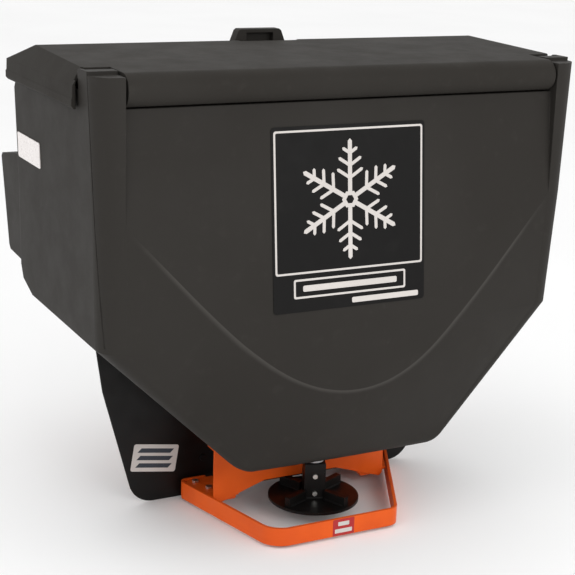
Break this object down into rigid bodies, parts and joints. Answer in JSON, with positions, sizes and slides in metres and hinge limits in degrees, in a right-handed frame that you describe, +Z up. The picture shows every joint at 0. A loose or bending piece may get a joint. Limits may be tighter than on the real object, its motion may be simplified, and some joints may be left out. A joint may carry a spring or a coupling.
{
  "type": "tailgate salt spreader",
  "caption": "Tailgate salt spreader: moulded hopper with a hinged lid on a square drawbar, feeding a spinning disc inside a flat bar guard.",
  "frame": {"origin": "centre of the hitch pin hole in the drawbar", "axes": "+X to the right seen from the road behind the truck, along the pin hole; +Y forwards to the truck, along the drawbar; +Z up"},
  "size_m": [1.074, 0.726, 0.993],
  "materials": {
    "hopper_poly": "satin",
    "lid_poly": "satin",
    "orange_coat": "satin",
    "black_coat": "gloss",
    "zinc": "satin",
    "steel": "brushed",
    "cast_alloy": "cast",
    "decal_film": "gloss",
    "reflector_film": "gloss",
    "rubber_black": "matte",
    "gland_nylon": "matte"
  },
  "bodies": {
    "hopper": {"back_braces": "orange_coat", "bearing_bridge": "black_coat", "brace_bolts": "zinc", "brace_foot_bolts": "black_coat", "cable_gland": "gland_nylon", "floor_rails": "orange_coat", "front_decal": "decal_film", "gear_motor": "black_coat", "gearbox": "cast_alloy", "gearbox_bolts": "zinc", "guard_bolts": "zinc", "guard_gussets": "orange_coat", "hitch_drawbar": "orange_coat", "hood_bolts": "zinc", "hopper_shell": "hopper_poly", "latch_bracket": "zinc", "latch_screws": "zinc", "lid_hinge_pins": "steel", "lid_rest_pads": "rubber_black", "motor_hood": "black_coat", "motor_plate": "black_coat", "outlet_bolts": "zinc", "outlet_ring": "black_coat", "rear_cross_plate": "orange_coat", "saddle_bolts": "zinc", "saddle_ears": "orange_coat", "saddle_plate": "orange_coat", "screen_bars": "zinc", "screen_ledges": "hopper_poly", "screen_rods": "zinc", "shaft_bearing": "cast_alloy", "shield_bolts": "black_coat", "side_reflectors": "reflector_film", "spill_shield": "black_coat", "spinner_guard": "orange_coat"},
    "lid": {"lid_shell": "lid_poly", "lid_handle": "hopper_poly", "lid_handle_screws": "zinc", "latch_keeper": "zinc", "keeper_screws": "zinc"},
    "latch": {"latch_arm": "zinc"},
    "spinner": {"drive_shaft": "steel", "spinner_hub": "black_coat", "hub_clamp_bolts": "zinc", "spinner_disc": "black_coat", "spinner_vanes": "black_coat", "shaft_collar": "steel", "agitator": "steel"}
  },
  "joints": [
    {"name": "lid_hinge", "type": "hinge", "parent": "hopper", "child": "lid", "pos_m": [0, -0.609, 0.827], "axis": [1, 0, 0], "range_deg": [0, 105]},
    {"name": "latch_turn", "type": "hinge", "parent": "hopper", "child": "latch", "pos_m": [0.06, -0.106, 0.756], "axis": [0, -1, 0], "range_deg": [0, 90]},
    {"name": "spinner_turn", "type": "hinge", "parent": "hopper", "child": "spinner", "pos_m": [0, -0.522, 0], "axis": [0, 0, 1], "continuous": true}
  ]
}
